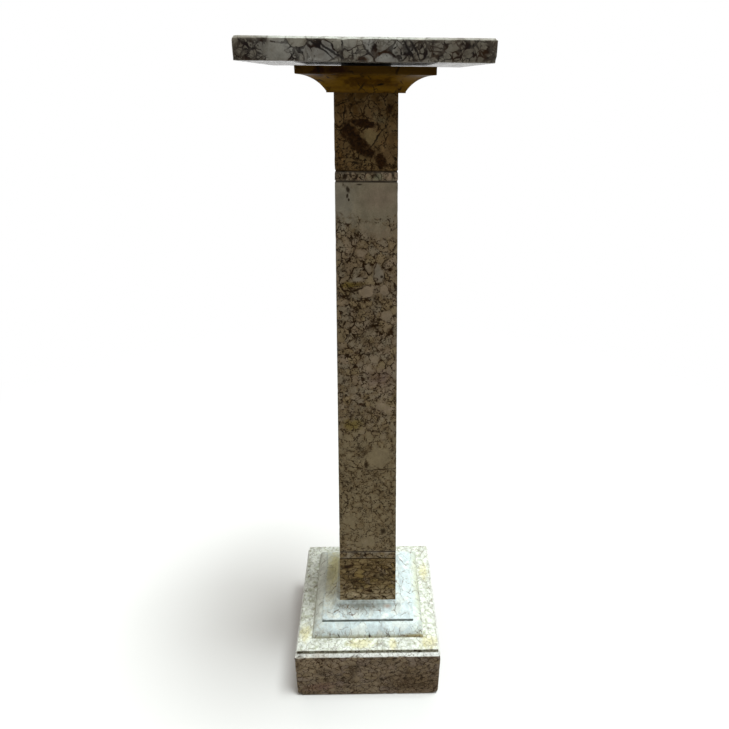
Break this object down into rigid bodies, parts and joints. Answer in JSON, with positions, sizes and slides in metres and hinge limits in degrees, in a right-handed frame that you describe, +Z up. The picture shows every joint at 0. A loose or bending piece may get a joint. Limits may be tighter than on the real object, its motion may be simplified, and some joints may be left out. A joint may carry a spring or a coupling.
{
  "type": "pedestal column stand",
  "caption": "Square stone pedestal with a stepped and moulded base, tapered grooved shaft, hollow-moulded capital and a square top slab that turns and lifts off.",
  "frame": {"origin": "middle of the plinth's underside, on the floor", "axes": "+Z up along the shaft's axis, which the top slab turns about; -Y faces the viewer"},
  "size_m": [0.265, 0.265, 1.04],
  "materials": {
    "veined_marble": "polished",
    "ochre_marble": "polished",
    "honey_onyx": "polished",
    "wrought_iron": "forged, oiled",
    "black_fibre": "matte",
    "brass": "turned",
    "screw_steel": "turned",
    "lead": "cast"
  },
  "bodies": {
    "pedestal": {"plinth_block": "veined_marble", "ovolo_tier": "veined_marble", "cavetto_tier": "veined_marble", "foot_block": "ochre_marble", "lower_band": "veined_marble", "main_shaft": "veined_marble", "upper_band": "veined_marble", "neck_block": "ochre_marble", "capital": "honey_onyx", "tie_rod": "wrought_iron", "foot_plate": "wrought_iron", "foot_washer": "wrought_iron", "foot_nut": "wrought_iron", "head_washer": "wrought_iron", "head_nut": "wrought_iron"},
    "turning_washer": {"slip_washer": "black_fibre"},
    "top": {"top_slab": "veined_marble", "socket_plate": "wrought_iron", "pivot_bush": "brass", "socket_screws": "screw_steel", "screw_plugs": "lead"}
  },
  "joints": [
    {"name": "top_swivel", "type": "hinge", "parent": "pedestal", "child": "turning_washer", "pos_m": [0, 0, 1.0152], "axis": [0, 0, 1], "continuous": true},
    {"name": "top_lift", "type": "slide", "parent": "turning_washer", "child": "top", "axis": [0, 0, 1], "range_m": [0, 0.04]}
  ]
}
